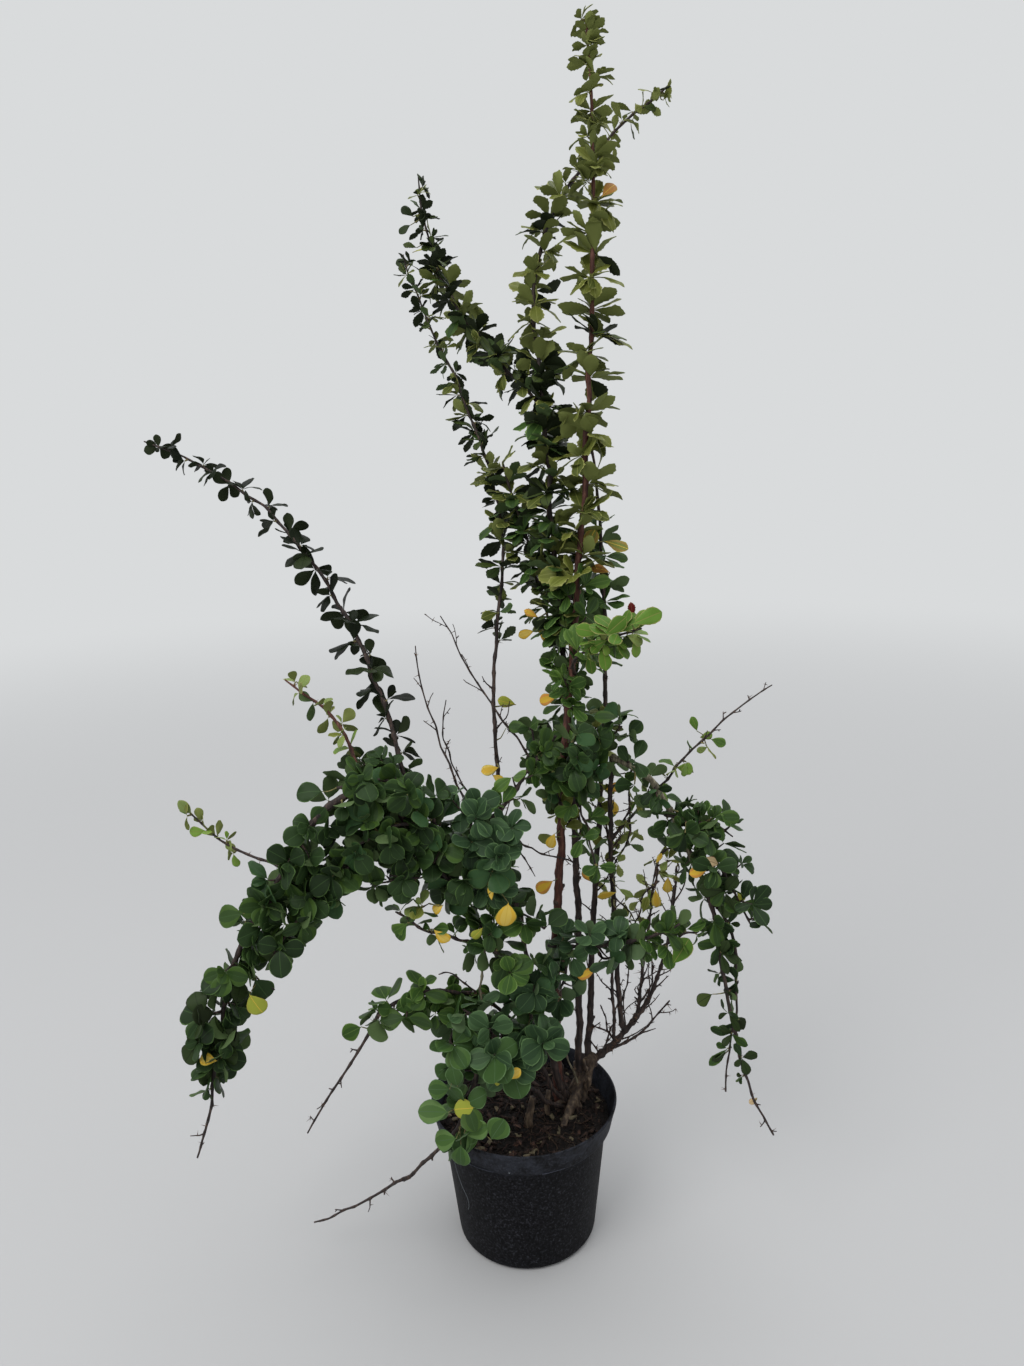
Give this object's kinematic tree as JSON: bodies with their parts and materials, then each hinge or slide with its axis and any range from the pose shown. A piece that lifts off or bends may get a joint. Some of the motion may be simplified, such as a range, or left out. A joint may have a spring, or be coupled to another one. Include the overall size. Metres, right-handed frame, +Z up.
{
  "type": "potted barberry shrub",
  "caption": "Young arching barberry shrub in a round nursery pot: upright leafy shoots, weeping side boughs and bare thorny twigs on one root crown.",
  "frame": {"origin": "middle of the flat underside of the pot", "axes": "+Z up, +X to the right of the front view, +Y away from it"},
  "size_m": [0.5954, 0.3782, 1.1361],
  "materials": {
    "pot": "matte dark grey moulded plastic with fine scuffs",
    "compost": "loose dark moist compost with fibres and dry leaf litter",
    "root_crown": "gnarled grey-brown bark",
    "stem": "fine ridged red-brown to dark brown bark",
    "foliage": "small leathery leaves, deep green with a few yellow and orange ones"
  },
  "bodies": {
    "root": {"pot": "pot", "soil": "compost", "root_crown": "root_crown", "stem_tall": "stem", "stem_rear": "stem", "stem_mid": "stem", "stem_mid_top": "stem", "stem_thorny": "stem", "stem_left": "stem", "leaves_tall_top": "foliage", "leaves_tall_high": "foliage", "leaves_tall_low": "foliage", "leaves_mid_column": "foliage", "leaves_mid_high": "foliage", "leaves_mid_tip": "foliage", "leaves_upper_left": "foliage", "leaves_upper_tip": "foliage", "leaves_left_tall_low": "foliage", "leaves_left_tall_tip": "foliage", "leaves_spray_front": "foliage", "leaves_centre_top": "foliage", "leaves_centre": "foliage", "leaves_centre_low": "foliage", "leaves_right_crest": "foliage", "leaves_right_outer": "foliage", "leaves_right_hang": "foliage", "leaves_left_crest": "foliage", "leaves_left_arch": "foliage", "leaves_left_drop": "foliage", "leaves_left_end": "foliage", "leaves_far_left_low": "foliage", "leaves_far_left_tip": "foliage", "leaves_left_short": "foliage", "leaves_front_upper": "foliage", "leaves_front_mid": "foliage", "leaves_front_low": "foliage", "leaves_cross": "foliage", "leaves_low_left": "foliage", "leaves_front_hang": "foliage", "leaves_back_upper": "foliage", "leaves_back_low": "foliage", "bough_right_rise": "stem", "bough_right_hang": "stem", "twig_right_out": "stem", "twig_thorny_mid": "stem", "twig_thorny_low": "stem", "shoot_left_tall": "stem", "bough_upper_left": "stem", "bough_left_rise": "stem", "bough_left_hang": "stem", "shoot_far_left": "stem", "shoot_left_short": "stem", "twig_left_out": "stem", "bough_low_rise": "stem", "twig_low_tip": "stem", "bough_front_rise": "stem", "bough_front_hang": "stem", "twig_bare_left": "stem", "twig_bare_mid": "stem"}
  },
  "joints": []
}
